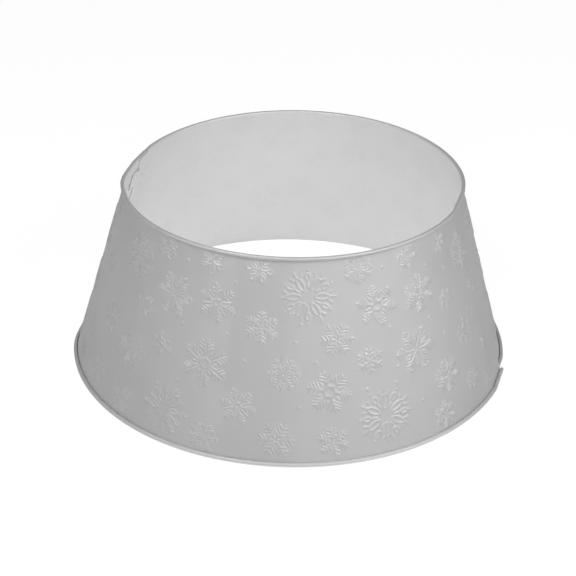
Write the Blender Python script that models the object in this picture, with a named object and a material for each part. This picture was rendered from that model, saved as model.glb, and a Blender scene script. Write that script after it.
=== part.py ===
"""A tree collar: a tapered ring of embossed sheet steel that hides the stand of a Christmas tree.

It is made of two half rings. The ends of the rear half slide inside the ends of the front half,
behind small clips that are welded inside the front half. The top and foot edges are rolled
outward round steel wires.

Lengths are in metres. The collar stands on z = 0 with its axis on Z. The two seams lie at +X
(right) and -X (left), the front half faces -Y, and the rear half pulls off along +Y.
"""
import math
from dataclasses import dataclass

import bmesh
import bpy
from mathutils import Matrix, Vector

# Overall size, over the rolled edges.
BASE_DIAMETER = 0.660
TOP_DIAMETER = 0.497
HEIGHT = 0.2745

# Sheet and edge wires.
SHEET = 0.0006
WIRE_DIAMETER = 0.004
WIRE_GAP = 0.0003
WIRE_INSET = 0.001
ROLL_RADIUS = WIRE_DIAMETER / 2 + WIRE_GAP + SHEET

# The two seams. The panels lap by LAP, and LAP_SLACK is the play between the lapped sheets.
LAP = 0.025
LAP_SLACK = 0.0003
BEAD_GAP = 0.0005

# The wall is rolled in facets. At each seam it is left straight, SEAM_FLAT_DEG either way.
SEAM_FLAT_DEG = 7.5
FLAT_STEPS = 3
ARC_STEPS = 33
WIRE_SIDES = 8
STEPS_TO_LEVEL_FACET_FOOT = 2
STEPS_TO_LEVEL_FACET_TOP = 3
ROLL_STEPS = 10

# The thin wall isn't perfectly round. The front half is drawn in at the left seam and stands out a
# little at the foot of the right one. The rear half follows it at both seams, but sits loose at the
# foot of the right one, and is a little narrow at the foot elsewhere. Each departure fades from a seam
# to the bulge away from it over its fall angle.
RIGHT_INSET_FOOT = -0.0022
LEFT_INSET_TOP = 0.0073
LEFT_INSET_FOOT = 0.0063
RIGHT_PLAY_FOOT = 0.0058
FRONT_BULGE_FOOT = 0.0010
REAR_BULGE_TOP = 0.0010
REAR_BULGE_FOOT = -0.0045
FRONT_LEFT_FALL_DEG = 17.0
FRONT_RIGHT_FALL_DEG = 90.0
REAR_LEFT_FALL_DEG = 105.0
REAR_RIGHT_FALL_DEG = 14.0

# Catch clips, three beside each seam.
CLIP_SHEET = 0.0008
CLIP_HEIGHT = 0.030
CLIP_EDGE_DROP = 0.022
CLIP_BASE = 0.014
CLIP_RAMP = 0.0015
CLIP_LIP = 0.0085
CLIP_TIP = 0.0020
CLIP_TIP_RISE = 0.0010
CLIP_GAP = 0.0003
CLIP_END_CLEARANCE = 0.0008
CLIP_CORNER_RADIUS = 0.003
CORNER_SEGMENTS = 3

SHADE_ANGLE_DEG = 40.0

# Centres of the two rolls in the wall's cross-section, as (radius, height), and the wall's slope.
FOOT_CENTRE = Vector((BASE_DIAMETER / 2 - ROLL_RADIUS, ROLL_RADIUS))
TOP_CENTRE = Vector((TOP_DIAMETER / 2 - ROLL_RADIUS, HEIGHT - ROLL_RADIUS))
SLOPE = math.atan2(FOOT_CENTRE.x - TOP_CENTRE.x, TOP_CENTRE.y - FOOT_CENTRE.y)
LAP_STEP = (SHEET + LAP_SLACK) / math.cos(SLOPE)


@dataclass
class Half:
    """One half of the ring: where it ends, and how its wall departs from a true round.

    The insets and the bulge are pairs, one length at the top of the wall and one at its foot.
    """
    name: str
    side: int
    sheet_end: float
    bead_end: float
    right_inset: tuple
    left_inset: tuple
    bulge: tuple
    left_fall_deg: float
    right_fall_deg: float


FRONT = Half("front", side=-1, sheet_end=LAP / 2, bead_end=LAP / 2,
             right_inset=(0.0, RIGHT_INSET_FOOT), left_inset=(LEFT_INSET_TOP, LEFT_INSET_FOOT),
             bulge=(0.0, FRONT_BULGE_FOOT),
             left_fall_deg=FRONT_LEFT_FALL_DEG, right_fall_deg=FRONT_RIGHT_FALL_DEG)
REAR = Half("rear", side=1, sheet_end=-LAP / 2, bead_end=LAP / 2 + BEAD_GAP,
            right_inset=(LAP_STEP, RIGHT_INSET_FOOT + LAP_STEP + RIGHT_PLAY_FOOT),
            left_inset=(LEFT_INSET_TOP + LAP_STEP, LEFT_INSET_FOOT + LAP_STEP),
            bulge=(REAR_BULGE_TOP, REAR_BULGE_FOOT),
            left_fall_deg=REAR_LEFT_FALL_DEG, right_fall_deg=REAR_RIGHT_FALL_DEG)


def clear_scene():
    """Remove what a new file holds."""
    for obj in list(bpy.data.objects):
        bpy.data.objects.remove(obj, do_unlink=True)


def material(name, colour, roughness, metallic):
    """A Principled material."""
    made = bpy.data.materials.new(name)
    made.use_nodes = True
    shader = made.node_tree.nodes["Principled BSDF"]
    shader.inputs["Base Color"].default_value = (*colour, 1.0)
    shader.inputs["Roughness"].default_value = roughness
    shader.inputs["Metallic"].default_value = metallic
    made.diffuse_color = (*colour, 1.0)
    return made


def empty(name):
    """A parent for the pieces of one half."""
    made = bpy.data.objects.new(name, None)
    bpy.context.scene.collection.objects.link(made)
    return made


def add_object(name, bm, finish, parent):
    """Turn a bmesh into a named object, shaded smooth but for its real corners."""
    mesh = bpy.data.meshes.new(name)
    bm.to_mesh(mesh)
    bm.free()
    mesh.shade_smooth()
    mesh.set_sharp_from_angle(angle=math.radians(SHADE_ANGLE_DEG))
    mesh.materials.append(finish)
    made = bpy.data.objects.new(name, mesh)
    made.parent = parent
    bpy.context.scene.collection.objects.link(made)
    return made


def ease(share):
    """Fall smoothly from 1 to 0 as share goes from 0 to 1."""
    share = min(max(share, 0.0), 1.0)
    return (1 + math.cos(math.pi * share)) / 2


def degrees_from(azimuth, seam):
    """Angle between two azimuths, in degrees, without a sign."""
    return abs((azimuth - seam + 180) % 360 - 180)


def at_height(ends, z):
    """A length that changes evenly from the top of the wall to its foot."""
    top, foot = ends
    return foot + (top - foot) * z / HEIGHT


def plan_radius(radius, z, azimuth, half):
    """Radius of a point of one half once the wall is drawn in and straightened at the seams."""
    from_right = degrees_from(azimuth, 0)
    from_left = degrees_from(azimuth, 180)
    near_right = ease((from_right - SEAM_FLAT_DEG) / half.right_fall_deg)
    near_left = ease((from_left - SEAM_FLAT_DEG) / half.left_fall_deg)
    away = 1 - near_right - near_left
    radius += (away * at_height(half.bulge, z) - near_right * at_height(half.right_inset, z)
               - near_left * at_height(half.left_inset, z))
    off_seam = min(from_right, from_left)
    if off_seam < SEAM_FLAT_DEG:
        radius *= math.cos(math.radians(SEAM_FLAT_DEG)) / math.cos(math.radians(off_seam))
    return radius


def spin_half(bm, profile, closed, half):
    """Spin a (radius, height) profile round one half of the ring: a flat, the arc and a flat."""
    verts = [bm.verts.new((radius, 0, z)) for radius, z in profile]
    edges = [bm.edges.new(pair) for pair in zip(verts, verts[1:])]
    if closed:
        edges.append(bm.edges.new((verts[-1], verts[0])))
    first = -SEAM_FLAT_DEG if half.side > 0 else 180 - SEAM_FLAT_DEG
    origin = Vector((0, 0, 0))
    bmesh.ops.rotate(bm, verts=verts, cent=origin, matrix=Matrix.Rotation(math.radians(first), 3, "Z"))
    flat = (2 * SEAM_FLAT_DEG, FLAT_STEPS)
    arc = (180 - 2 * SEAM_FLAT_DEG, ARC_STEPS)
    geom = verts + edges
    for span_deg, steps in (flat, arc, flat):
        spun = bmesh.ops.spin(bm, geom=geom, cent=origin, axis=(0, 0, 1),
                              angle=math.radians(span_deg), steps=steps)
        geom = spun["geom_last"]
    for vert in bm.verts:
        azimuth = math.degrees(math.atan2(vert.co.y, vert.co.x))
        radius = math.hypot(vert.co.x, vert.co.y)
        vert.co.xy *= plan_radius(radius, vert.co.z, azimuth, half) / radius


def cut_ends(bm, y, half):
    """Cut the half square across both of its ends, at y, and drop what is past the cut."""
    bmesh.ops.bisect_plane(bm, geom=bm.verts[:] + bm.edges[:] + bm.faces[:], dist=0,
                           plane_co=(0, y, 0), plane_no=(0, -half.side, 0), clear_outer=True)


def roll_angles(level, steps_to_level):
    """Corner angles of a roll that leaves the wall and has one level facet, square to level."""
    start = math.pi + SLOPE
    step = (level - start) / (steps_to_level + 1 / 2)
    return [start + step * count for count in range(ROLL_STEPS + 1)]


def roll_points(centre, angles):
    """Points of the outside of a roll, in the wall's cross-section, from the wall round."""
    corner_radius = ROLL_RADIUS / math.cos((angles[1] - angles[0]) / 2)
    return [centre + corner_radius * Vector((math.cos(a), math.sin(a))) for a in angles]


def wall_profile():
    """Inner face of the wall with both rolled edges, from the foot roll's end to the top's."""
    foot = roll_points(FOOT_CENTRE, roll_angles(3 * math.pi / 2, STEPS_TO_LEVEL_FACET_FOOT))
    top = roll_points(TOP_CENTRE, roll_angles(math.pi / 2, STEPS_TO_LEVEL_FACET_TOP))
    return list(reversed(foot)) + top


def is_rolled(face):
    """Whether a face of the wall's surface belongs to one of its rolled edges."""
    height = face.calc_center_median().z
    return height < 2 * ROLL_RADIUS or height > HEIGHT - 2 * ROLL_RADIUS


def trim_beads(bm, half):
    """Cut the rolled edges off the flat sheet that slides inside the other half."""
    bmesh.ops.bisect_plane(bm, geom=bm.verts[:] + bm.edges[:] + bm.faces[:], dist=0,
                           plane_co=(0, half.bead_end, 0), plane_no=(0, 1, 0))
    spare = [face for face in bm.faces if is_rolled(face)
             and half.side * (face.calc_center_median().y - half.bead_end) < 0]
    bmesh.ops.delete(bm, geom=spare, context="FACES")


def make_panel(half, finish, parent):
    """One half of the wall: a rolled surface, trimmed at its ends and given its thickness."""
    bm = bmesh.new()
    spin_half(bm, wall_profile(), False, half)
    cut_ends(bm, half.sheet_end, half)
    if half.bead_end != half.sheet_end:
        trim_beads(bm, half)
    bm.normal_update()
    wall = max(bm.faces, key=lambda face: face.calc_area())
    outward = Vector((wall.calc_center_median().x, wall.calc_center_median().y, 0))
    if wall.normal.dot(outward) > 0:
        bmesh.ops.reverse_faces(bm, faces=bm.faces[:])
    panel = add_object(half.name + "_panel", bm, finish, parent)
    thickness = panel.modifiers.new("sheet thickness", "SOLIDIFY")
    thickness.thickness = SHEET
    thickness.offset = -1
    thickness.use_even_offset = True
    thickness.use_quality_normals = True
    return panel


def make_wire(half, edge_name, centre, finish, parent):
    """The wire inside one rolled edge of one half."""
    bm = bmesh.new()
    turn = 2 * math.pi / WIRE_SIDES
    profile = [centre + WIRE_DIAMETER / 2 * Vector((math.cos(turn * n), math.sin(turn * n)))
               for n in range(WIRE_SIDES)]
    spin_half(bm, profile, True, half)
    cut_ends(bm, half.bead_end + half.side * WIRE_INSET, half)
    open_edges = [edge for edge in bm.edges if edge.is_boundary]
    bmesh.ops.holes_fill(bm, edges=open_edges, sides=WIRE_SIDES * 2)
    bmesh.ops.recalc_face_normals(bm, faces=bm.faces[:])
    return add_object(half.name + "_" + edge_name + "_wire", bm, finish, parent)


def seam_wall_point(point, side_x):
    """Where a point of the front panel's profile lies at a seam, as (x, z)."""
    azimuth = 0 if side_x > 0 else 180
    return Vector((side_x * plan_radius(point.x, point.y, azimuth, FRONT), point.y))


def lip_depth_at(z, side_x):
    """How far a clip's lip stands off the front panel, to clear the rear panel all along the clip."""
    azimuth = 0 if side_x > 0 else 180
    steps = [plan_radius(TOP_DIAMETER / 2, z + rise, azimuth, FRONT)
             - plan_radius(TOP_DIAMETER / 2, z + rise, azimuth, REAR)
             for rise in (-CLIP_HEIGHT / 2, CLIP_HEIGHT / 2)]
    return max(steps) * math.cos(SLOPE) + CLIP_GAP


def clip_outline(lip_depth):
    """Cross-section of a clip as (y, depth): a base, a ramp and a lip with a turned-up tip.

    Depth is measured inward from the front panel's inner face.
    """
    base_end = -LAP / 2 - CLIP_END_CLEARANCE - CLIP_RAMP
    ramp_end = base_end + CLIP_RAMP
    lip_end = ramp_end + CLIP_LIP
    near_wall = [
        (base_end - CLIP_BASE, CLIP_GAP),
        (base_end, CLIP_GAP),
        (ramp_end, lip_depth),
        (lip_end, lip_depth),
        (lip_end + CLIP_TIP, lip_depth + CLIP_TIP_RISE),
    ]
    return near_wall + [(y, depth + CLIP_SHEET) for y, depth in reversed(near_wall)]


def make_clip(name, side_x, share_up, finish, parent):
    """A clip beside one seam, its middle at share_up of the way up between the two end clips."""
    angles = roll_angles(math.pi / 2, STEPS_TO_LEVEL_FACET_TOP)
    top = seam_wall_point(roll_points(TOP_CENTRE, angles)[0], side_x)
    angles = roll_angles(3 * math.pi / 2, STEPS_TO_LEVEL_FACET_FOOT)
    foot = seam_wall_point(roll_points(FOOT_CENTRE, angles)[0], side_x)
    lowest = CLIP_EDGE_DROP + CLIP_HEIGHT / 2
    z = lowest + share_up * (HEIGHT - 2 * lowest)
    up = (top - foot).normalized()
    place = foot + up * (z - foot.y) / up.y
    inward = Vector((-side_x * up.y, 0, side_x * up.x))
    bm = bmesh.new()
    near = [bm.verts.new(Vector((0, y, -CLIP_HEIGHT / 2)) + depth * Vector((1, 0, 0)))
            for y, depth in clip_outline(lip_depth_at(z, side_x))]
    face = bm.faces.new(near)
    far = bmesh.ops.extrude_face_region(bm, geom=[face])["geom"]
    bmesh.ops.translate(bm, verts=[v for v in far if isinstance(v, bmesh.types.BMVert)],
                        vec=(0, 0, CLIP_HEIGHT))
    ends = [edge for edge in bm.edges if abs(edge.verts[0].co.z - edge.verts[1].co.z) < CLIP_GAP
            and abs(edge.verts[0].co.y - edge.verts[1].co.y) < CLIP_GAP]
    bmesh.ops.bevel(bm, geom=ends, offset=CLIP_CORNER_RADIUS, segments=CORNER_SEGMENTS, profile=1 / 2,
                    affect="EDGES")
    bmesh.ops.recalc_face_normals(bm, faces=bm.faces[:])
    clip = add_object(name, bm, finish, parent)
    turn = Matrix((inward, Vector((0, 1, 0)), inward.cross(Vector((0, 1, 0))))).transposed()
    clip.location = (place.x, 0, place.y)
    clip.rotation_euler = turn.to_euler()
    return clip


def build():
    """Make every piece."""
    clear_scene()
    coated = material("powder coated steel", (0.60, 0.60, 0.60), 0.45, 0.35)
    wire = material("galvanised wire", (0.50, 0.51, 0.52), 0.35, 0.9)
    halves = {half.name: empty(half.name + "_half") for half in (FRONT, REAR)}
    for half in (FRONT, REAR):
        make_panel(half, coated, halves[half.name])
        make_wire(half, "top", TOP_CENTRE, wire, halves[half.name])
        make_wire(half, "foot", FOOT_CENTRE, wire, halves[half.name])
    for side_name, side_x in (("left", -1), ("right", 1)):
        for level_name, share_up in (("top", 1.0), ("middle", 1 / 2), ("foot", 0.0)):
            name = side_name + "_clip_" + level_name
            make_clip(name, side_x, share_up, coated, halves["front"])


build()
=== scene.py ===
import math

import bpy
from mathutils import Matrix, Vector, geometry, kdtree


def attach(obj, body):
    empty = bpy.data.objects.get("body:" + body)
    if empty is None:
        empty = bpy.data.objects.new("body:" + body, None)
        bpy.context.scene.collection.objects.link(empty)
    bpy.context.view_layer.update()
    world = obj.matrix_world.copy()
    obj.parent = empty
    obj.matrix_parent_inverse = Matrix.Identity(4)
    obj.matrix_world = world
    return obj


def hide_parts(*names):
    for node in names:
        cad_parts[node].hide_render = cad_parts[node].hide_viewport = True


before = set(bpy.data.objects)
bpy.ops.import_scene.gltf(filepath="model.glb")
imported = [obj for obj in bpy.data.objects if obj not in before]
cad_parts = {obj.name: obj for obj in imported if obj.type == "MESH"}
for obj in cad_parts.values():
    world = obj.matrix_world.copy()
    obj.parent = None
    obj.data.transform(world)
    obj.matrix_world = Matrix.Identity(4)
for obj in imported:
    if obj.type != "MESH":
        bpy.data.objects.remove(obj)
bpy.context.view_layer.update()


# Camera. The photograph is taken from about 2.1 m, 32 degrees above the floor,
# with a short telephoto lens, standing 17 degrees round to the right.
CAMERA_TURN_DEG = 17.1
CAMERA_DISTANCE = 2.130
CAMERA_HEIGHT_DEG = 32.02
CAMERA_HEADING_DEG = 17.25
CAMERA_TILT_DEG = 60.01
CAMERA_ROLL_DEG = 0.93
CAMERA_LENS = 86.175

turn = math.radians(CAMERA_TURN_DEG)
rise = math.radians(CAMERA_HEIGHT_DEG)
bpy.ops.object.camera_add()
camera = bpy.context.object
camera.name = "camera"
camera.data.lens = CAMERA_LENS
camera.data.sensor_width = 36
camera.data.clip_start, camera.data.clip_end = 0.05, 50
camera.data.dof.use_dof = False
camera.matrix_world = (
    Matrix.Translation(CAMERA_DISTANCE * Vector((math.sin(turn) * math.cos(rise),
                                                 -math.cos(turn) * math.cos(rise),
                                                 math.sin(rise))))
    @ Matrix.Rotation(math.radians(CAMERA_HEADING_DEG), 4, "Z")
    @ Matrix.Rotation(math.radians(CAMERA_TILT_DEG), 4, "X")
    @ Matrix.Rotation(math.radians(CAMERA_ROLL_DEG), 4, "Z"))
bpy.context.scene.camera = camera
bpy.context.scene.view_settings.view_transform = "Standard"


# The two panels. Each is a curved blank of 0.6 mm mild steel sheet, embossed
# with snowflakes between a punch and a die, bent to half a cone and rolled
# over a wire at its top and foot. Both halves come out of the same die.
MM = 0.001
BASE_DIAMETER = 0.660
TOP_DIAMETER = 0.497
HEIGHT = 0.2745
SHEET = 0.0006
ROLL_RADIUS = 0.0029
LAP = 0.025
LAP_SLACK = 0.0003
BEAD_GAP = 0.0005
SEAM_FLAT_DEG = 7.5

FOOT_CENTRE = Vector((BASE_DIAMETER / 2 - ROLL_RADIUS, ROLL_RADIUS))
TOP_CENTRE = Vector((TOP_DIAMETER / 2 - ROLL_RADIUS, HEIGHT - ROLL_RADIUS))
SLOPE = math.atan2(FOOT_CENTRE.x - TOP_CENTRE.x, TOP_CENTRE.y - FOOT_CENTRE.y)
OUTWARD = Vector((math.cos(SLOPE), math.sin(SLOPE)))
FOOT_EDGE = FOOT_CENTRE - ROLL_RADIUS * OUTWARD       # where the wall turns into the roll
TOP_EDGE = TOP_CENTRE - ROLL_RADIUS * OUTWARD
SLANT = (TOP_EDGE - FOOT_EDGE).length
FOOT_SWEEP = FOOT_EDGE.x / math.sin(SLOPE)            # radius of the flat blank's foot edge
LAP_STEP = (SHEET + LAP_SLACK) / math.cos(SLOPE)      # how far the rear half lies inside the front half

# The ring isn't quite round. It is drawn in at the left seam, and the rear half
# is narrow at its foot and sits loose there at the right seam.
LEFT_INSET_TOP = 0.0073
LEFT_INSET_FOOT = 0.0063
FRONT_RIGHT_INSET_FOOT = -0.0022
FRONT_BULGE_TOP = -0.00035
FRONT_BULGE_FOOT = 0.00065
REAR_RIGHT_PLAY_FOOT = 0.0036
REAR_BULGE_TOP = 0.00065
REAR_BULGE_FOOT = -0.00485


class Half:
    """How one half stands: its turn round the ring in degrees, the y where its beads end, how far it is
    drawn in at each seam, over what angle that fades, and how far it bulges elsewhere. A pair of lengths
    is one at its top and one at its foot."""

    def __init__(self, name, turn, bead_end, right_inset, right_fall_deg, left_inset, left_fall_deg, bulge):
        self.name, self.turn, self.bead_end, self.bulge = name, turn, bead_end, bulge
        self.right_inset, self.right_fall_deg = right_inset, right_fall_deg
        self.left_inset, self.left_fall_deg = left_inset, left_fall_deg


FRONT = Half("front", turn=0, bead_end=LAP / 2,
             right_inset=(0.0, FRONT_RIGHT_INSET_FOOT), right_fall_deg=90,
             left_inset=(LEFT_INSET_TOP, LEFT_INSET_FOOT), left_fall_deg=17,
             bulge=(FRONT_BULGE_TOP, FRONT_BULGE_FOOT))
REAR = Half("rear", turn=180, bead_end=-(LAP / 2 + BEAD_GAP),
            right_inset=(LAP_STEP, LAP_STEP + REAR_RIGHT_PLAY_FOOT), right_fall_deg=14,
            left_inset=(LAP_STEP + LEFT_INSET_TOP, LAP_STEP + LEFT_INSET_FOOT), left_fall_deg=105,
            bulge=(REAR_BULGE_TOP, REAR_BULGE_FOOT))


def ease(share):
    """1 at a share of 0, falling smoothly to 0 at a share of 1."""
    return (1 + math.cos(math.pi * min(max(share, 0.0), 1.0))) / 2


def at_height(ends, z):
    """A length that changes evenly from the top of the wall to its foot."""
    return ends[1] + (ends[0] - ends[1]) * z / HEIGHT


def plan_radius(radius, z, azimuth, half):
    """A radius of the round ring as it stands on this half, which is flat at the seams and drawn in there."""
    from_right = abs((azimuth + 180) % 360 - 180)
    from_left = abs(azimuth % 360 - 180)
    near_right = ease((from_right - SEAM_FLAT_DEG) / half.right_fall_deg)
    near_left = ease((from_left - SEAM_FLAT_DEG) / half.left_fall_deg)
    radius += ((1 - near_right - near_left) * at_height(half.bulge, z)
               - near_right * at_height(half.right_inset, z) - near_left * at_height(half.left_inset, z))
    off_seam = min(from_right, from_left)
    if off_seam < SEAM_FLAT_DEG:
        radius *= math.cos(math.radians(SEAM_FLAT_DEG)) / math.cos(math.radians(off_seam))
    return radius


def stand_up(sweep, swing, out, half):
    """Where a point of the flat blank stands on the ring. It is given by its distance and angle from the
    cone's tip, and its height off the sheet."""
    up = FOOT_SWEEP - sweep
    radius = FOOT_EDGE.x - up * math.sin(SLOPE) + out * math.cos(SLOPE)
    z = FOOT_EDGE.y + up * math.cos(SLOPE) + out * math.sin(SLOPE)
    azimuth = math.degrees(swing / math.sin(SLOPE)) - 90 + half.turn
    radius = plan_radius(radius, z, azimuth, half)
    return Vector((radius * math.cos(math.radians(azimuth)), radius * math.sin(math.radians(azimuth)), z))


SOLVE_STEPS = 6            # rounds in which an angle settles that depends on its own radius


def swing_at(y, up):
    """The blank's angle where the front half, at this distance up its slope, has this y."""
    azimuth = 0.0
    for _ in range(SOLVE_STEPS):
        radius = FOOT_EDGE.x - up * math.sin(SLOPE)
        radius = plan_radius(radius, up * math.cos(SLOPE), azimuth, FRONT)
        azimuth = math.degrees(math.asin(y / radius))
    return math.radians(azimuth + 90) * math.sin(SLOPE)


# The snowflakes: one arm of each kind, in shares of the flake's radius. The
# first list is drawn as it is, the second also on the other side of the arm.
# The punch has ridges 3 mm wide and 0.85 mm high with a rounded top.
RIDGE = ((1.5, 0.0), (0.5, 0.85))              # half width and height of each contour, mm
DOT = ((2.9, 0.0), (2.0, 0.5), (0.9, 0.75))    # radius and height of each contour, mm
BACK_SHARE = 0.6                               # how much of the height shows on the sheet's back
ARMS = 6
OVAL_POINTS = 10
LEAST_MITRE = 0.5
ROUND_END_POINTS = 3
MERGE_MM = 0.01                                # points nearer each other than this become one


def bar(*points):
    """A straight stroke through points that are measured along the arm and across it."""
    return [Vector(p) for p in points], False


def oval(along, across, long, wide, tilt=0):
    """A closed oval stroke round a place on the arm."""
    turned = Matrix.Rotation(math.radians(tilt), 2)
    return [Vector((along, across)) + turned @ Vector((long * math.cos(a), wide * math.sin(a)))
            for a in (2 * math.pi * n / OVAL_POINTS for n in range(OVAL_POINTS))], True


def ring(size):
    """One side of a hexagon round the flake's middle."""
    return bar((size, 0), (size / 2, size * math.sqrt(3) / 2))


FLAKES = {
    "petals": ([oval(0.52, 0, 0.27, 0.10), bar((0.84, 0), (1.0, 0)), oval(0.62, 0.358, 0.14, 0.07, 30),
                bar((0.30, 0.173), (0.42, 0.242)), bar((0.82, 0.473), (0.85, 0.491))],
               [bar((0.74, 0.13), (0.86, 0.22))]),
    "loops": ([bar((0.10, 0), (1.0, 0)), bar((0.20, 0.115), (0.38, 0.22))],
              [oval(0.64, 0.21, 0.16, 0.09, 48), bar((0.42, 0), (0.53, 0.10)), bar((0.78, 0), (0.94, 0.14))]),
    "small loops": ([bar((0.0, 0), (0.50, 0)), oval(0.76, 0, 0.24, 0.16), bar((0.30, 0.173), (0.46, 0.266))],
                    []),
    "fern": ([bar((0.10, 0), (1.0, 0))],
             [bar((0.22, 0), (0.34, 0.18)), bar((0.38, 0), (0.54, 0.25)), bar((0.55, 0), (0.71, 0.25)),
              bar((0.72, 0), (0.86, 0.20))]),
    "small fern": ([bar((0.1, 0), (1.0, 0))],
                   [bar((0.34, 0), (0.54, 0.27)), bar((0.62, 0), (0.82, 0.25))]),
    "fans": ([ring(0.27), bar((0.27, 0), (1.0, 0)), bar((0.40, 0.231), (0.52, 0.30))],
             [bar((0.46, 0), (0.68, 0.27)), bar((0.62, 0), (0.82, 0.24)), bar((0.78, 0), (0.92, 0.16))]),
    "small lace": ([bar((0.0, 0), (1.0, 0)), ring(0.42)], [bar((0.62, 0), (0.82, 0.24))]),
    "star": ([bar((0.10, 0), (1.0, 0)), oval(0.44, 0.254, 0.14, 0.065, 30)],
             [bar((0.50, 0.0), (0.68, 0.21)), bar((0.64, 0.0), (0.82, 0.21)), bar((1.0, 0.0), (0.89, 0.13))]),
    "cross": ([bar((0.10, 0), (1.0, 0))],
              [bar((0.30, 0), (0.46, 0.20)), bar((0.50, 0), (0.68, 0.25)), bar((0.74, 0), (0.90, 0.20))]),
    "leaves": ([ring(0.19), bar((0.24, 0), (1.0, 0)), bar((0.25, 0.144), (0.62, 0.358))],
               [bar((0.48, 0), (0.60, 0.18)), bar((0.65, 0), (0.77, 0.18)), bar((0.82, 0), (0.92, 0.13))]),
    "ladders": ([ring(0.24), bar((0.24, 0), (1.0, 0)), bar((0.34, 0.196), (0.52, 0.30))],
                [bar((0.44, 0), (0.56, 0.16)), bar((0.62, 0), (0.64, 0.20)), bar((0.75, 0), (0.77, 0.20)),
                 bar((0.88, 0), (0.90, 0.14))]),
    "twin bars": ([ring(0.22), bar((0.34, 0.196), (0.44, 0.254))],
                  [bar((0.34, 0.065), (1.0, 0.065)), bar((0.52, 0.065), (0.66, 0.27)),
                   bar((0.66, 0.065), (0.80, 0.27)), bar((0.80, 0.065), (0.91, 0.22))]),
    "chevrons": ([bar((0.12, 0), (0.98, 0))],
                 [bar((0.26, 0), (0.46, 0.26)), bar((0.46, 0), (0.66, 0.27)), bar((0.68, 0), (0.87, 0.24))]),
    "rays": ([oval(0.42, 0, 0.17, 0.07), bar((0.64, 0), (1.0, 0)), bar((0.24, 0.139), (0.50, 0.289)),
              oval(0.64, 0.37, 0.12, 0.06, 30)],
             [bar((0.66, 0), (0.84, 0.14)), bar((0.82, 0), (0.94, 0.10))]),
}

# Where each is on a half: kind, azimuth seen from the front half, height up
# the slope and radius in mm, and how far it is turned.
SPREAD = (
    ("petals", -68, 230, 37, 30), ("loops", -126, 232, 33, 25), ("small fern", -114.5, 262, 17, 10),
    ("small loops", -97.5, 265, 17, 0), ("small loops", -82.5, 264, 18, 20), ("loops", -52.5, 262, 20, 0),
    ("cross", -35, 261, 16, 20), ("loops", -9, 228, 26, 0), ("star", -109, 205, 30, 30),
    ("cross", -119.5, 173, 17, 15), ("leaves", -94.5, 211, 27, 10), ("cross", -81, 187, 22, 0),
    ("ladders", -47.5, 208, 29, 15), ("fern", -32.5, 206, 27, 0), ("cross", -22, 180, 14, 10),
    ("chevrons", -60, 170, 23, 30), ("small fern", -51, 135, 19, 0), ("twin bars", -96, 126, 33, 0),
    ("fern", -121, 104, 31, 30), ("small lace", -110.5, 132, 18, 10), ("loops", -74.5, 125, 22, 30),
    ("fans", -62.5, 100, 30, 15), ("star", -36.5, 132, 32, 30), ("small lace", -16, 119, 20, 0),
    ("chevrons", -27, 76, 25, 10), ("leaves", -86, 76, 25, 20), ("rays", -106, 45, 37, 30),
    ("chevrons", -76, 34, 25, 30), ("cross", -62, 29, 21, 10), ("petals", -48, 54, 39, 0),
    ("fern", -121, 27, 24, 20), ("loops", -94, 23, 20, 30), ("leaves", -134, 37, 23, 0),
    ("chevrons", -133, 121, 22, 10), ("cross", -144.5, 76, 16, 25), ("small loops", -142.5, 182, 15, 0),
    ("small fern", -17, 47, 16, 20), ("twin bars", -157, 212, 31, 10), ("small lace", -151, 259, 18, 0),
    ("leaves", -156, 130, 28, 0), ("fern", -171, 240, 24, 15), ("cross", -172, 176, 18, 0),
    ("petals", -161, 50, 33, 0), ("star", -172, 108, 24, 30), ("small loops", -174, 40, 15, 0),
    ("small fern", -147, 26, 16, 10), ("cross", -5, 170, 17, 25), ("fern", -5.5, 80, 19, 0),
    ("small lace", -9, 22, 17, 15), ("cross", -30, 24, 19, 0), ("small loops", -20, 259, 14, 10),
)
DOTS = (
    (-106, 257), (-44.5, 257), (-27.5, 239), (-89.5, 243), (-104.5, 171), (-130.5, 170), (-144, 135),
    (-129, 79), (-103.5, 91), (-90.5, 171), (-85, 139), (-71.5, 169), (-70, 193), (-66, 141), (-44, 174),
    (-43, 117.5), (-44, 96), (-52.5, 96), (-70.5, 80), (-25, 136), (-30, 168), (-36.5, 59), (-140, 222),
    (-164, 165), (-150, 92), (-176, 72), (-20, 222), (-12, 145), (-1, 122), (-15, 84), (-139, 10), (-1, 262),
)


def flat(sweep, swing):
    """A point of the flat blank, with the cone's tip at 0, 0."""
    return Vector((sweep * math.sin(swing), -sweep * math.cos(swing)))


def on_blank(azimuth, up):
    """A place on the front half, as a point of the flat blank in mm."""
    return flat(FOOT_SWEEP / MM - up, math.radians(azimuth + 90) * math.sin(SLOPE))


def drawn(kind, azimuth, up, radius, turned):
    """Every stroke of one snowflake, on the flat blank."""
    centre = on_blank(azimuth, up)
    upright = -centre.normalized()
    strokes = []
    singles, pairs = FLAKES[kind]
    for arm in range(ARMS):
        along = Matrix.Rotation(math.radians(360 / ARMS * arm + turned), 2) @ upright
        across = Vector((-along.y, along.x))
        for side, group in ((1, singles), (1, pairs), (-1, pairs)):
            for points, closed in group:
                placed = [centre + radius * (p.x * along + side * p.y * across) for p in points]
                strokes.append((placed, closed))
    return strokes


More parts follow.
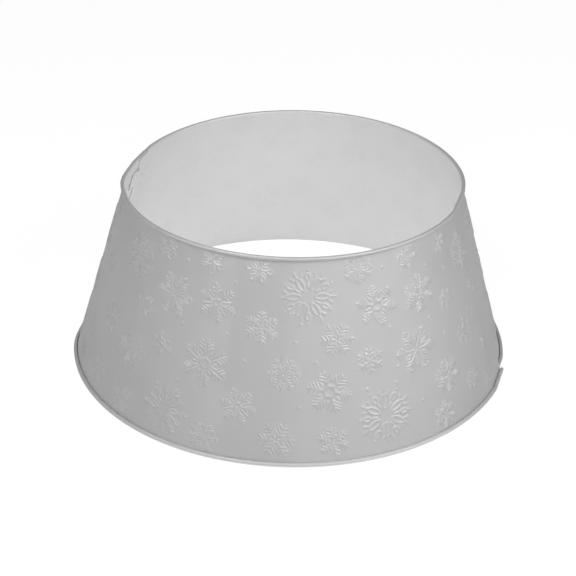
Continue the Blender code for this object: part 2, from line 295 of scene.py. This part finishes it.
def ribbons(points, closed, half_width):
    """Polygons that cover a stroke: one for each stretch, and a round end at both ends."""
    count = len(points)
    left, right = [], []
    for i, point in enumerate(points):
        before = points[i - 1] if closed or i else None
        after = points[(i + 1) % count] if closed or i < count - 1 else None
        steps = [(b - a).normalized() for a, b in ((before, point), (point, after))
                 if a is not None and b is not None]
        step = sum(steps, Vector((0, 0))).normalized()
        reach = half_width / max(step.dot(steps[0]), LEAST_MITRE)
        normal = Vector((-step.y, step.x))
        left.append(point + reach * normal)
        right.append(point - reach * normal)
    polygons = [[right[i], right[(i + 1) % count], left[(i + 1) % count], left[i]]
                for i in range(count if closed else count - 1)]
    if not closed:
        for start, end, centre in ((left[0], right[0], points[0]), (right[-1], left[-1], points[-1])):
            arm = start - centre
            corner_deg = 180 / ROUND_END_POINTS
            polygons.append([centre + Matrix.Rotation(math.radians(corner_deg * n), 2) @ arm
                             for n in range(ROUND_END_POINTS)] + [end])
    return polygons


def inside(polygon, point):
    """Whether a point lies in a convex polygon whose corners run anticlockwise."""
    return all((b - a).cross(point - a) > 0 for a, b in zip(polygon, polygon[1:] + polygon[:1]))


def open_edges(triangles):
    """The edges that only one of the triangles has."""
    uses = {}
    for triangle in triangles:
        for a, b in zip(triangle, triangle[1:] + triangle[:1]):
            pair = tuple(sorted((a, b)))
            uses[pair] = uses.get(pair, 0) + 1
    return [pair for pair, count in uses.items() if count == 1]


def renumbered(groups):
    """The points that these edges or faces use, in order, and the groups with the points' new places."""
    used = sorted({i for group in groups for i in group})
    place = {i: n for n, i in enumerate(used)}
    return used, [[place[i] for i in group] for group in groups]


def outline(polygons):
    """The outline of overlapping polygons, as points and the edges between them."""
    points, faces = [], []
    for polygon in polygons:
        faces.append(list(range(len(points), len(points) + len(polygon))))
        points.extend(polygon)
    found, _, triangles, _, _, covering = geometry.delaunay_2d_cdt(points, [], faces, 1, MERGE_MM)
    covered = []
    for triangle, covers in zip(triangles, covering):
        middle = sum((found[i] for i in triangle), Vector((0, 0))) / 3
        if any(inside(polygons[n], middle) for n in covers):
            covered.append(triangle)
    used, joins = renumbered(open_edges(covered))
    return [found[i] for i in used], joins


points, heights, edges = [], [], []


def add_outline(polygons, height):
    """Adds one contour of the pattern to the blank."""
    found, joins = outline(polygons)
    start = len(points)
    points.extend(found)
    heights.extend([height] * len(found))
    edges.extend((a + start, b + start) for a, b in joins)


for kind, azimuth, up, radius, turned in SPREAD:
    strokes = drawn(kind, azimuth, up, radius, turned)
    for half_width, height in RIDGE:
        add_outline([p for stroke in strokes for p in ribbons(*stroke, half_width)], height)
for azimuth, up in DOTS:
    for radius, height in DOT:
        centre = on_blank(azimuth, up)
        add_outline([[centre + radius * Vector((math.cos(a), math.sin(a)))
                      for a in (2 * math.pi * n / OVAL_POINTS for n in range(OVAL_POINTS))]], height)

# The blank's edge: a point every 1.25 degrees along the top and the foot, one
# more where the rear half's beads end, and the two straight ends.
COLUMN_DEG = 1.25
ROW_STEP = 8.0
LAP_COLUMNS = 5


def edge_swings(up):
    """The angles of the points along the blank's edge at this distance up its slope."""
    end = swing_at(LAP / 2, up)
    bead_end = swing_at(REAR.bead_end, up)
    step = math.radians(COLUMN_DEG) * math.sin(SLOPE)
    count = int(bead_end / step)
    inner = [bead_end * n / count for n in range(-count, count + 1)]
    beyond = [bead_end + (end - bead_end) * n / LAP_COLUMNS for n in range(1, LAP_COLUMNS + 1)]
    return [-s for s in reversed(beyond)] + inner + beyond


rows = int(SLANT / MM / ROW_STEP)
ups = [SLANT * n / rows for n in range(1, rows)]
border = [(FOOT_SWEEP, s) for s in edge_swings(0)]
border += [(FOOT_SWEEP - up, swing_at(LAP / 2, up)) for up in ups]
border += [(FOOT_SWEEP - SLANT, s) for s in reversed(edge_swings(SLANT))]
border += [(FOOT_SWEEP - up, -swing_at(LAP / 2, up)) for up in reversed(ups)]
start = len(points)
points += [flat(sweep, swing) / MM for sweep, swing in border]
heights += [0.0] * len(border)
edges += [(start + n, start + (n + 1) % len(border)) for n in range(len(border))]

# Between the snowflakes the sheet only needs points close enough to bend well.
BACKGROUND_STEP = 8.0
CLEAR_OF_RIDGE = 4.0
CLEAR_OF_END = 0.002

tree = kdtree.KDTree(len(points))
for n, point in enumerate(points):
    tree.insert(point.to_3d(), n)
tree.balance()
for row in range(1, int(SLANT / MM / BACKGROUND_STEP) + 1):
    sweep = FOOT_SWEEP / MM - (row - 0.5) * BACKGROUND_STEP
    reach = swing_at(LAP / 2, 0)
    count = int(reach * sweep * 2 / BACKGROUND_STEP)
    for n in range(count + 1):
        swing = reach * (2 * (n + row % 2 / 2) / count - 1)
        point = flat(sweep, swing)
        if (tree.find(point.to_3d())[2] > CLEAR_OF_RIDGE
                and abs(swing) < swing_at(LAP / 2, SLANT) - CLEAR_OF_END):
            points.append(point)
            heights.append(0.0)

# The blank as one net of triangles, with the points that no triangle needs left
# out. Its points are now a distance and an angle from the cone's tip. The rim and
# the laps, where sheet lies on sheet, are plain.
EDGE_WIDTH = 0.00003       # how near the top or foot edge a point lies that counts as on it

blank, _, triangles, sources, _, _ = geometry.delaunay_2d_cdt(points, edges, [], 1, MERGE_MM)
blank_height = [max((heights[i] for i in source), default=0.0) * MM for source in sources]
top_sweep = FOOT_SWEEP - SLANT
blank = [(point.length * MM, math.atan2(point.x, -point.y)) for point in blank]
triangles = [t for t in triangles if top_sweep < sum(blank[i][0] for i in t) / 3 < FOOT_SWEEP]
used, triangles = renumbered(triangles)
blank = [blank[i] for i in used]
blank_height = [blank_height[i] for i in used]
rim = {i for pair in open_edges(triangles) for i in pair}
top_rim = sorted((i for i in rim if abs(blank[i][0] - top_sweep) < EDGE_WIDTH), key=lambda i: blank[i][1])
foot_rim = sorted((i for i in rim if abs(blank[i][0] - FOOT_SWEEP) < EDGE_WIDTH), key=lambda i: blank[i][1])
for i, (sweep, swing) in enumerate(blank):
    if i in rim or abs(swing) > swing_at(-LAP / 2, FOOT_SWEEP - sweep):
        blank_height[i] = 0.0


# Powder coat on steel: silver polyester powder full of fine aluminium flake,
# baked at 200 C. The flake reflects like brushed-out metal, softly and with a
# broad sheen, under a faint orange peel about 2 mm across and a trace of cloud.
COAT_COLOUR = "#e9e9e9"
COAT_CLOUD_COLOUR = "#e5e5e5"
ORANGE_PEEL = 0.002
ORANGE_PEEL_DEPTH = 0.0002
CLOUD = 0.09


def linear(hex_colour):
    """An sRGB hex colour as the linear colour that a socket takes."""
    parts = [int(hex_colour[n:n + 2], 16) / 255 for n in (1, 3, 5)]
    return [c / 12.92 if c <= 0.04045 else ((c + 0.055) / 1.055) ** 2.4 for c in parts] + [1.0]


def node(tree, kind, inputs=(), **settings):
    """A node with its settings, and its inputs by name or place: a value, or the output that feeds it."""
    made = tree.nodes.new(kind)
    for name, value in settings.items():
        setattr(made, name, value)
    for name, value in inputs:
        if isinstance(value, bpy.types.NodeSocket):
            tree.links.new(value, made.inputs[name])
        else:
            made.inputs[name].default_value = value
    return made


def new_material(name):
    """A material with no nodes yet."""
    made = bpy.data.materials.new(name)
    made.use_nodes = True
    made.node_tree.nodes.clear()
    return made


coat = new_material("silver_flake_powder_coat")
tree = coat.node_tree
place = node(tree, "ShaderNodeTexCoord").outputs["Object"]
cloud = node(tree, "ShaderNodeTexNoise",
             [("Vector", place), ("Scale", 1 / CLOUD), ("Detail", 2.0)]).outputs[0]
colour = node(tree, "ShaderNodeMix", [(0, cloud), (6, linear(COAT_CLOUD_COLOUR)), (7, linear(COAT_COLOUR))],
              data_type="RGBA").outputs[2]
peel = node(tree, "ShaderNodeTexNoise",
            [("Vector", place), ("Scale", 1 / ORANGE_PEEL), ("Detail", 1.0)]).outputs[0]
gloss = node(tree, "ShaderNodeMapRange", [("Value", cloud), ("To Min", 0.61), ("To Max", 0.66)]).outputs[0]
peel_bump = node(tree, "ShaderNodeBump", [("Height", peel), ("Strength", 0.06),
                                          ("Distance", ORANGE_PEEL_DEPTH)]).outputs[0]
shader = node(tree, "ShaderNodeBsdfPrincipled", [
    ("Base Color", colour), ("Roughness", gloss), ("Normal", peel_bump), ("Metallic", 0.9)])
node(tree, "ShaderNodeOutputMaterial", [("Surface", shader.outputs[0])])


# Rolled edges: how far each curls round its wire, and in how many facets. Then
# the blank is bent to each half's shape and gets the thickness of its sheet.
TOP_CURL_DEG = 305
FOOT_CURL_DEG = 292
CURL_STEPS = 16
SMOOTH_BELOW_DEG = 50
AT_END = 0.00002           # how near an end's angle a point lies that counts as on it
SAME_PLACE = 0.000001      # points nearer each other than this lie in one place


def select_only(piece):
    bpy.ops.object.select_all(action="DESELECT")
    piece.select_set(True)
    bpy.context.view_layer.objects.active = piece


def join_points(piece):
    """Makes one point of those that lie in one place, so that no face has two corners there."""
    select_only(piece)
    bpy.ops.object.mode_set(mode="EDIT")
    bpy.ops.mesh.select_all(action="SELECT")
    bpy.ops.mesh.remove_doubles(threshold=SAME_PLACE)
    bpy.ops.object.mode_set(mode="OBJECT")


def add_panel(half):
    """One embossed half: its wall and its two rolled edges, then the thickness of the sheet."""
    side = math.cos(math.radians(half.turn))
    verts = []
    for (sweep, swing), height in zip(blank, blank_height):
        spot = stand_up(sweep, swing, height, half)
        if abs(swing) > swing_at(LAP / 2, FOOT_SWEEP - sweep) - AT_END:
            spot.y = side * LAP / 2
        verts.append(spot)
    faces = list(triangles)
    for edge, curl_deg, way in ((top_rim, TOP_CURL_DEG, 1), (foot_rim, FOOT_CURL_DEG, -1)):
        up = FOOT_SWEEP - blank[edge[0]][0]
        last = swing_at(half.bead_end, up)
        line = [i for i in edge if abs(blank[i][1]) < last + AT_END]
        before = line
        for step in range(1, CURL_STEPS + 1):
            curl = math.radians(curl_deg) * step / CURL_STEPS
            row = []
            for i in line:
                sweep, swing = blank[i]
                spot = stand_up(sweep - way * ROLL_RADIUS * math.sin(curl), swing,
                                ROLL_RADIUS * (1 - math.cos(curl)), half)
                if i in (line[0], line[-1]):
                    spot.y = side * half.bead_end
                row.append(len(verts))
                verts.append(spot)
            for n in range(len(line) - 1):
                quad = [before[n], before[n + 1], row[n + 1], row[n]]
                faces.append(quad if way > 0 else quad[::-1])
            before = row
    mesh = bpy.data.meshes.new(half.name + "_panel_pressed")
    mesh.from_pydata(verts, [], faces)
    panel = bpy.data.objects.new(half.name + "_panel_pressed", mesh)
    bpy.context.collection.objects.link(panel)
    select_only(panel)
    thickness = panel.modifiers.new("sheet thickness", "SOLIDIFY")
    thickness.thickness = SHEET
    thickness.offset = 1
    thickness.use_quality_normals = True
    bpy.ops.object.modifier_apply(modifier=thickness.name)
    back = panel.data.vertices[len(verts):]
    for vert, (sweep, swing), height in zip(back, blank, blank_height):
        if height:
            vert.co = stand_up(sweep, swing, BACK_SHARE * height, half)
    join_points(panel)
    bpy.ops.object.shade_smooth_by_angle(angle=math.radians(SMOOTH_BELOW_DEG))
    evened = panel.modifiers.new("even shading", "WEIGHTED_NORMAL")
    evened.keep_sharp = True
    bpy.ops.object.modifier_apply(modifier=evened.name)
    panel.data.materials.append(coat)
    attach(panel, half.name + "_half")
    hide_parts(half.name + "_panel")


for half in (FRONT, REAR):
    add_panel(half)


# The wires. A galvanised steel wire of 4 mm lies inside each rolled edge, held
# by the curl, and shows only at its cut ends beside the seams. The zinc has a
# grey spangle about 3 mm across.
WIRE_DIAMETER = 0.004
WIRE_INSET = 0.001
WIRE_SIDES = 14
WIRE_STEP_DEG = 2.5
WIRE_WELD = 0.00001
SPANGLE = 0.003

wire_metal = new_material("galvanised_wire")
tree = wire_metal.node_tree
place = node(tree, "ShaderNodeTexCoord").outputs["Object"]
spangle = node(tree, "ShaderNodeTexVoronoi", [("Vector", place), ("Scale", 1 / SPANGLE)]).outputs["Color"]
tone = node(tree, "ShaderNodeMix", [(0, spangle), (6, linear("#a9abad")), (7, linear("#bdbfc1"))],
            data_type="RGBA").outputs[2]
shader = node(tree, "ShaderNodeBsdfPrincipled", [
    ("Base Color", tone), ("Roughness", 0.38), ("Metallic", 1.0)])
node(tree, "ShaderNodeOutputMaterial", [("Surface", shader.outputs[0])])


def add_wire(half, edge_name, centre):
    """A round wire spun round the half ring, then drawn in at the seams as its rolled edge is."""
    side = math.cos(math.radians(half.turn))
    end_y = half.bead_end - WIRE_INSET
    end = 0.0
    for _ in range(SOLVE_STEPS):
        end = math.asin(end_y / plan_radius(centre.x, centre.y, math.degrees(end), half))
    bpy.ops.object.select_all(action="DESELECT")
    bpy.ops.mesh.primitive_circle_add(vertices=WIRE_SIDES, radius=WIRE_DIAMETER / 2, fill_type="NOTHING",
                                      location=(centre.x, 0, centre.y), rotation=(math.pi / 2, 0, 0))
    wire = bpy.context.object
    wire.name = wire.data.name = f"{half.name}_{edge_name}_wire_round"
    bpy.ops.object.transform_apply()
    wire.data.transform(Matrix.Rotation(end + math.radians(half.turn), 4, "Z"))
    bpy.ops.object.mode_set(mode="EDIT")
    bpy.ops.mesh.select_all(action="SELECT")
    swept = math.pi + 2 * end
    bpy.ops.mesh.spin(steps=round(math.degrees(swept) / WIRE_STEP_DEG), angle=swept, center=(0, 0, 0),
                      axis=(0, 0, 1))
    bpy.ops.mesh.select_all(action="SELECT")
    bpy.ops.mesh.remove_doubles(threshold=WIRE_WELD)
    bpy.ops.mesh.select_all(action="DESELECT")
    bpy.ops.mesh.select_non_manifold()
    bpy.ops.mesh.edge_face_add()
    bpy.ops.mesh.select_all(action="SELECT")
    bpy.ops.mesh.normals_make_consistent(inside=False)
    bpy.ops.object.mode_set(mode="OBJECT")
    for vert in wire.data.vertices:
        azimuth = math.atan2(vert.co.y, vert.co.x)
        radius = plan_radius(math.hypot(vert.co.x, vert.co.y), vert.co.z, math.degrees(azimuth), half)
        vert.co.x, vert.co.y = radius * math.cos(azimuth), radius * math.sin(azimuth)
    bpy.ops.object.shade_smooth_by_angle(angle=math.radians(SMOOTH_BELOW_DEG))
    wire.data.materials.append(wire_metal)
    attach(wire, half.name + "_half")
    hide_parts(f"{half.name}_{edge_name}_wire")


for half in (FRONT, REAR):
    add_wire(half, "top", TOP_CENTRE)
    add_wire(half, "foot", FOOT_CENTRE)


# The catch clips. Each is a strip of 0.8 mm sheet folded to a step, spot-welded
# at two points inside the front half, and coated with it. Its lip stands off
# the wall and holds the rear half's end; three sit beside each seam.
CLIP_SHEET = 0.0008
CLIP_HEIGHT = 0.030
CLIP_EDGE_DROP = 0.022
CLIP_BASE = 0.014
CLIP_RAMP = 0.0015
CLIP_LIP = 0.0085
CLIP_TIP = 0.0020
CLIP_TIP_RISE = 0.0010
CLIP_END_CLEARANCE = 0.0008
CLIP_GAP = 0.0003
CLIP_CORNER = 0.003
CLIP_FOLD = 0.0007
CLIP_EDGE = 0.00012
CLIP_EDGE_ABOVE_DEG = 50
CLIP_SMOOTH_BELOW_DEG = 35
WELD_SPACING = 0.012
WELD_FROM_END = 0.0045
WELD_SPHERE = 0.005
WELD_DEPTH = 0.0004


def pick(mesh, kind, chosen):
    """Selects only the vertices or edges that pass a test, for the edit that follows."""
    bpy.ops.mesh.select_mode(type=kind)
    bpy.ops.mesh.select_all(action="DESELECT")
    bpy.ops.object.mode_set(mode="OBJECT")
    for part in (mesh.vertices if kind == "VERT" else mesh.edges):
        part.select = chosen(part)
    bpy.ops.object.mode_set(mode="EDIT")


clip_start = -LAP / 2 - CLIP_END_CLEARANCE - CLIP_RAMP - CLIP_BASE
clip_end = clip_start + CLIP_BASE + CLIP_RAMP + CLIP_LIP + CLIP_TIP


def is_fold(mesh, edge):
    """Whether an edge of the flat strip is one that it is folded at."""
    one, other = (mesh.vertices[v].co for v in edge.vertices)
    return (abs(one.y - other.y) < SAME_PLACE and abs(one.z - other.z) > CLIP_HEIGHT - CLIP_SHEET
            and clip_start + CLIP_EDGE < one.y < clip_end - CLIP_EDGE)


def add_clip(name, lip_depth):
    """A clip before it is placed: x is the depth off the wall, y runs along the lap, z up the slope."""
    bpy.ops.object.select_all(action="DESELECT")
    bpy.ops.mesh.primitive_plane_add(size=1, location=(CLIP_GAP, clip_start + CLIP_BASE / 2, 0),
                                     rotation=(0, math.pi / 2, 0))
    clip = bpy.context.object
    clip.name = clip.data.name = name
    clip.scale = (CLIP_HEIGHT, CLIP_BASE, 1)
    bpy.ops.object.transform_apply()
    mesh = clip.data
    bpy.ops.object.mode_set(mode="EDIT")
    # From the base's far edge come the ramp, the lip and its turned-up tip.
    pick(mesh, "EDGE", lambda e: all(mesh.vertices[v].co.y > clip_start + CLIP_BASE / 2 for v in e.vertices))
    for move in ((lip_depth - CLIP_GAP, CLIP_RAMP, 0), (0, CLIP_LIP, 0), (CLIP_TIP_RISE, CLIP_TIP, 0)):
        bpy.ops.mesh.extrude_edges_move(TRANSFORM_OT_translate={"value": move})
    # The strip's four corners are rounded, and its folds get a small radius.
    pick(mesh, "VERT", lambda v: min(v.co.y - clip_start, clip_end - v.co.y) < CLIP_EDGE)
    bpy.ops.mesh.bevel(offset=CLIP_CORNER, segments=5, affect="VERTICES")
    pick(mesh, "EDGE", lambda e: is_fold(mesh, e))
    bpy.ops.mesh.bevel(offset=CLIP_FOLD, segments=3, affect="EDGES")
    bpy.ops.mesh.select_all(action="SELECT")
    bpy.ops.mesh.normals_make_consistent(inside=False)
    bpy.ops.object.mode_set(mode="OBJECT")
    if max(mesh.polygons, key=lambda f: f.area).normal.x < 0:
        mesh.flip_normals()
    thickness = clip.modifiers.new("sheet thickness", "SOLIDIFY")
    thickness.thickness = CLIP_SHEET
    thickness.offset = 1
    thickness.use_even_offset = True
    bpy.ops.object.modifier_apply(modifier=thickness.name)
    # The welding electrode's tip left a dimple at each of the two points.
    for place in (-1, 1):
        bpy.ops.object.select_all(action="DESELECT")
        bpy.ops.mesh.primitive_uv_sphere_add(
            segments=24, ring_count=24, radius=WELD_SPHERE, rotation=(0, math.pi / 2, 0),
            location=(CLIP_GAP + CLIP_SHEET + WELD_SPHERE - WELD_DEPTH, clip_start + WELD_FROM_END,
                      place * WELD_SPACING / 2))
        electrode = bpy.context.object
        dimple = clip.modifiers.new("weld dimple", "BOOLEAN")
        dimple.object = electrode
        dimple.operation = "DIFFERENCE"
        select_only(clip)
        bpy.ops.object.modifier_apply(modifier=dimple.name)
        bpy.data.objects.remove(electrode)
    edge = clip.modifiers.new("broken edges", "BEVEL")
    edge.width = CLIP_EDGE
    edge.segments = 2
    edge.limit_method = "ANGLE"
    edge.angle_limit = math.radians(CLIP_EDGE_ABOVE_DEG)
    bpy.ops.object.modifier_apply(modifier=edge.name)
    join_points(clip)
    bpy.ops.object.shade_smooth_by_angle(angle=math.radians(CLIP_SMOOTH_BELOW_DEG))
    clip.data.materials.append(coat)
    return clip


for side_name, side in (("left", -1), ("right", 1)):
    azimuth = 90 - 90 * side
    foot = Vector((side * plan_radius(FOOT_EDGE.x, FOOT_EDGE.y, azimuth, FRONT), 0, FOOT_EDGE.y))
    top = Vector((side * plan_radius(TOP_EDGE.x, TOP_EDGE.y, azimuth, FRONT), 0, TOP_EDGE.y))
    up = (top - foot).normalized()
    inward = Vector((-side * up.z, 0, side * up.x))
    along = Vector((0, 1, 0))
    for level, share_up in (("top", 1.0), ("middle", 0.5), ("foot", 0.0)):
        lowest = CLIP_EDGE_DROP + CLIP_HEIGHT / 2
        z = lowest + share_up * (HEIGHT - 2 * lowest)
        turned = Matrix((inward, along, inward.cross(along))).transposed().to_4x4()
        steps = [plan_radius(foot.x * side, end_z, azimuth, FRONT)
                 - plan_radius(foot.x * side, end_z, azimuth, REAR)
                 for end_z in (z - CLIP_HEIGHT / 2, z + CLIP_HEIGHT / 2)]
        piece = add_clip(f"{side_name}_clip_{level}_folded", max(steps) * math.cos(SLOPE) + CLIP_GAP)
        piece.data.transform(Matrix.Translation(foot + up * (z - foot.z) / up.z) @ turned)
        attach(piece, "front_half")
        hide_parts(f"{side_name}_clip_{level}")


# Studio floor: matt white, with a soft shadow. The camera and reflections see
# it white by its own glow, which lights nothing.
FLOOR_SIZE = 14
FLOOR_DROP = 0.0004
FLOOR_GLOW = 1.1
SEEN_SHARE = 0.38         # how much of the glow camera, glossy and transmission rays see
CAMERA_SHARE = 0.47       # how much more of it camera rays see


def seen_ray(tree):
    """1 on camera, glossy and transmission rays, which see the white set, and 0 on all others."""
    path = node(tree, "ShaderNodeLightPath").outputs
    seen = node(tree, "ShaderNodeMath", [(0, path["Is Camera Ray"]), (1, path["Is Glossy Ray"])],
                operation="MAXIMUM").outputs[0]
    return node(tree, "ShaderNodeMath", [(0, seen), (1, path["Is Transmission Ray"])],
                operation="MAXIMUM").outputs[0]


bpy.ops.object.select_all(action="DESELECT")
bpy.ops.mesh.primitive_plane_add(size=FLOOR_SIZE, location=(0, 0, -FLOOR_DROP))
floor = bpy.context.object
floor.name = "floor"
floor_white = new_material("white_studio_floor")
tree = floor_white.node_tree
camera_ray = node(tree, "ShaderNodeLightPath").outputs["Is Camera Ray"]
share = node(tree, "ShaderNodeMath", [(0, camera_ray), (1, CAMERA_SHARE)], operation="MULTIPLY").outputs[0]
share = node(tree, "ShaderNodeMath", [(0, seen_ray(tree)), (1, SEEN_SHARE), (2, share)],
             operation="MULTIPLY_ADD").outputs[0]
matte = node(tree, "ShaderNodeBsdfDiffuse", [("Color", linear("#f2f2f2"))])
glow = node(tree, "ShaderNodeEmission", [("Color", (1, 1, 1, 1)), ("Strength", FLOOR_GLOW)])
both = node(tree, "ShaderNodeMixShader", [(0, share), (1, matte.outputs[0]), (2, glow.outputs[0])])
node(tree, "ShaderNodeOutputMaterial", [("Surface", both.outputs[0])])
floor.data.materials.append(floor_white)

# Three glowing cards show only in reflections, where they paint light and shade on the silver coat. Grey
# ones stand round the set and give it its darker edges, a white disc inside the ring is painted light
# from a brightly lit floor there, and a dim ring round the foot is the collar's painted floor shadow.
CARD_DISTANCE = 1.0
CARD_HEIGHT = 0.9
CARD_GLOW = 0.23
LIGHT_POOL_RADIUS = 0.31
LIGHT_POOL_LIFT = 0.0002
LIGHT_POOL_GLOW = 0.87
SHADOW_RING_RADIUS = 0.60
SHADOW_RING_HOLE_RADIUS = 0.336
SHADOW_RING_RISE = 0.001
SHADOW_RING_LIFT = 0.0007
SHADOW_RING_GLOW = 0.39


def show_in_reflections(card, paint, strength):
    """Gives a card its glow, and hides it from all but glossy rays."""
    card.visible_camera = card.visible_diffuse = card.visible_transmission = card.visible_shadow = False
    made = new_material(paint)
    glow = node(made.node_tree, "ShaderNodeEmission", [("Color", (1, 1, 1, 1)), ("Strength", strength)])
    node(made.node_tree, "ShaderNodeOutputMaterial", [("Surface", glow.outputs[0])])
    card.data.materials.append(made)


bpy.ops.object.select_all(action="DESELECT")
bpy.ops.mesh.primitive_cylinder_add(vertices=64, radius=CARD_DISTANCE, depth=CARD_HEIGHT,
                                    end_fill_type="NOTHING", location=(0, 0, CARD_HEIGHT / 2))
cards = bpy.context.object
cards.name = "grey_cards"
show_in_reflections(cards, "grey_card", CARD_GLOW)

# Painted light: a glowing white disc on the floor inside the ring, seen only in reflections as brightly lit
# floor.
bpy.ops.object.select_all(action="DESELECT")
bpy.ops.mesh.primitive_circle_add(vertices=64, radius=LIGHT_POOL_RADIUS, fill_type="NGON",
                                  location=(0, 0, LIGHT_POOL_LIFT))
light_pool = bpy.context.object
light_pool.name = "painted_light_pool"
show_in_reflections(light_pool, "painted_light_pool", LIGHT_POOL_GLOW)

# Painted shadow: a dim ring on the floor round the foot, seen only in reflections as the collar's shadow
# there.
bpy.ops.object.select_all(action="DESELECT")
bpy.ops.mesh.primitive_cone_add(vertices=96, radius1=SHADOW_RING_RADIUS, radius2=SHADOW_RING_HOLE_RADIUS,
                                depth=SHADOW_RING_RISE, end_fill_type="NOTHING", location=(0, 0, SHADOW_RING_LIFT))
shadow_ring = bpy.context.object
shadow_ring.name = "painted_floor_shadow"
show_in_reflections(shadow_ring, "painted_floor_shadow", SHADOW_RING_GLOW)

# World: seen directly or in reflections it is white up to about 27 degrees above
# the horizon, and dim above 40 degrees. It lights the set only weakly.
AMBIENT = 0.15
SKY_FALL_STARTS = 0.45
SKY_FALL_ENDS = 0.65
ZENITH = 0.18

world = bpy.data.worlds.new("white_studio")
bpy.context.scene.world = world
world.use_nodes = True
tree = world.node_tree
tree.nodes.clear()
seen = seen_ray(tree)
way = node(tree, "ShaderNodeTexCoord").outputs["Generated"]
rising = node(tree, "ShaderNodeSeparateXYZ", [(0, way)]).outputs[2]
sky = node(tree, "ShaderNodeMapRange", [("Value", rising), ("From Min", SKY_FALL_STARTS), ("To Min", 1.0),
                                        ("From Max", SKY_FALL_ENDS), ("To Max", ZENITH)]).outputs[0]
ambient = node(tree, "ShaderNodeBackground", [("Color", (1, 1, 1, 1)), ("Strength", AMBIENT)])
white = node(tree, "ShaderNodeBackground", [("Color", (1, 1, 1, 1)), ("Strength", sky)])
both = node(tree, "ShaderNodeMixShader", [(0, seen), (1, ambient.outputs[0]), (2, white.outputs[0])])
node(tree, "ShaderNodeOutputWorld", [("Surface", both.outputs[0])])

# Lamps: a strong soft light high on the right, others from the left and from
# beside the camera, and weak ones from above and from low on the left.
# Each has its place, the side of its square and its power in watts.
LAMP_AIM = Vector((0, 0, 0.12))
LAMPS = (
    ("right_softbox", (2.3, -0.7, 1.8), 1.3, 27.5),
    ("left_softbox", (-0.8, -1.5, 2.1), 1.1, 16),
    ("high_softbox", (0.4, -1.5, 2.8), 1.6, 6),
    ("camera_softbox", (0.45, -2.6, 1.45), 1.3, 16),
    ("low_left_softbox", (-1.2, -2.4, 1.6), 1.4, 3),
)
for name, spot, size, power in LAMPS:
    bpy.ops.object.light_add(type="AREA", location=spot)
    lamp = bpy.context.object
    lamp.name = name
    lamp.data.shape = "SQUARE"
    lamp.data.size = size
    lamp.data.energy = power
    lamp.rotation_euler = (LAMP_AIM - Vector(spot)).to_track_quat("-Z", "Y").to_euler()
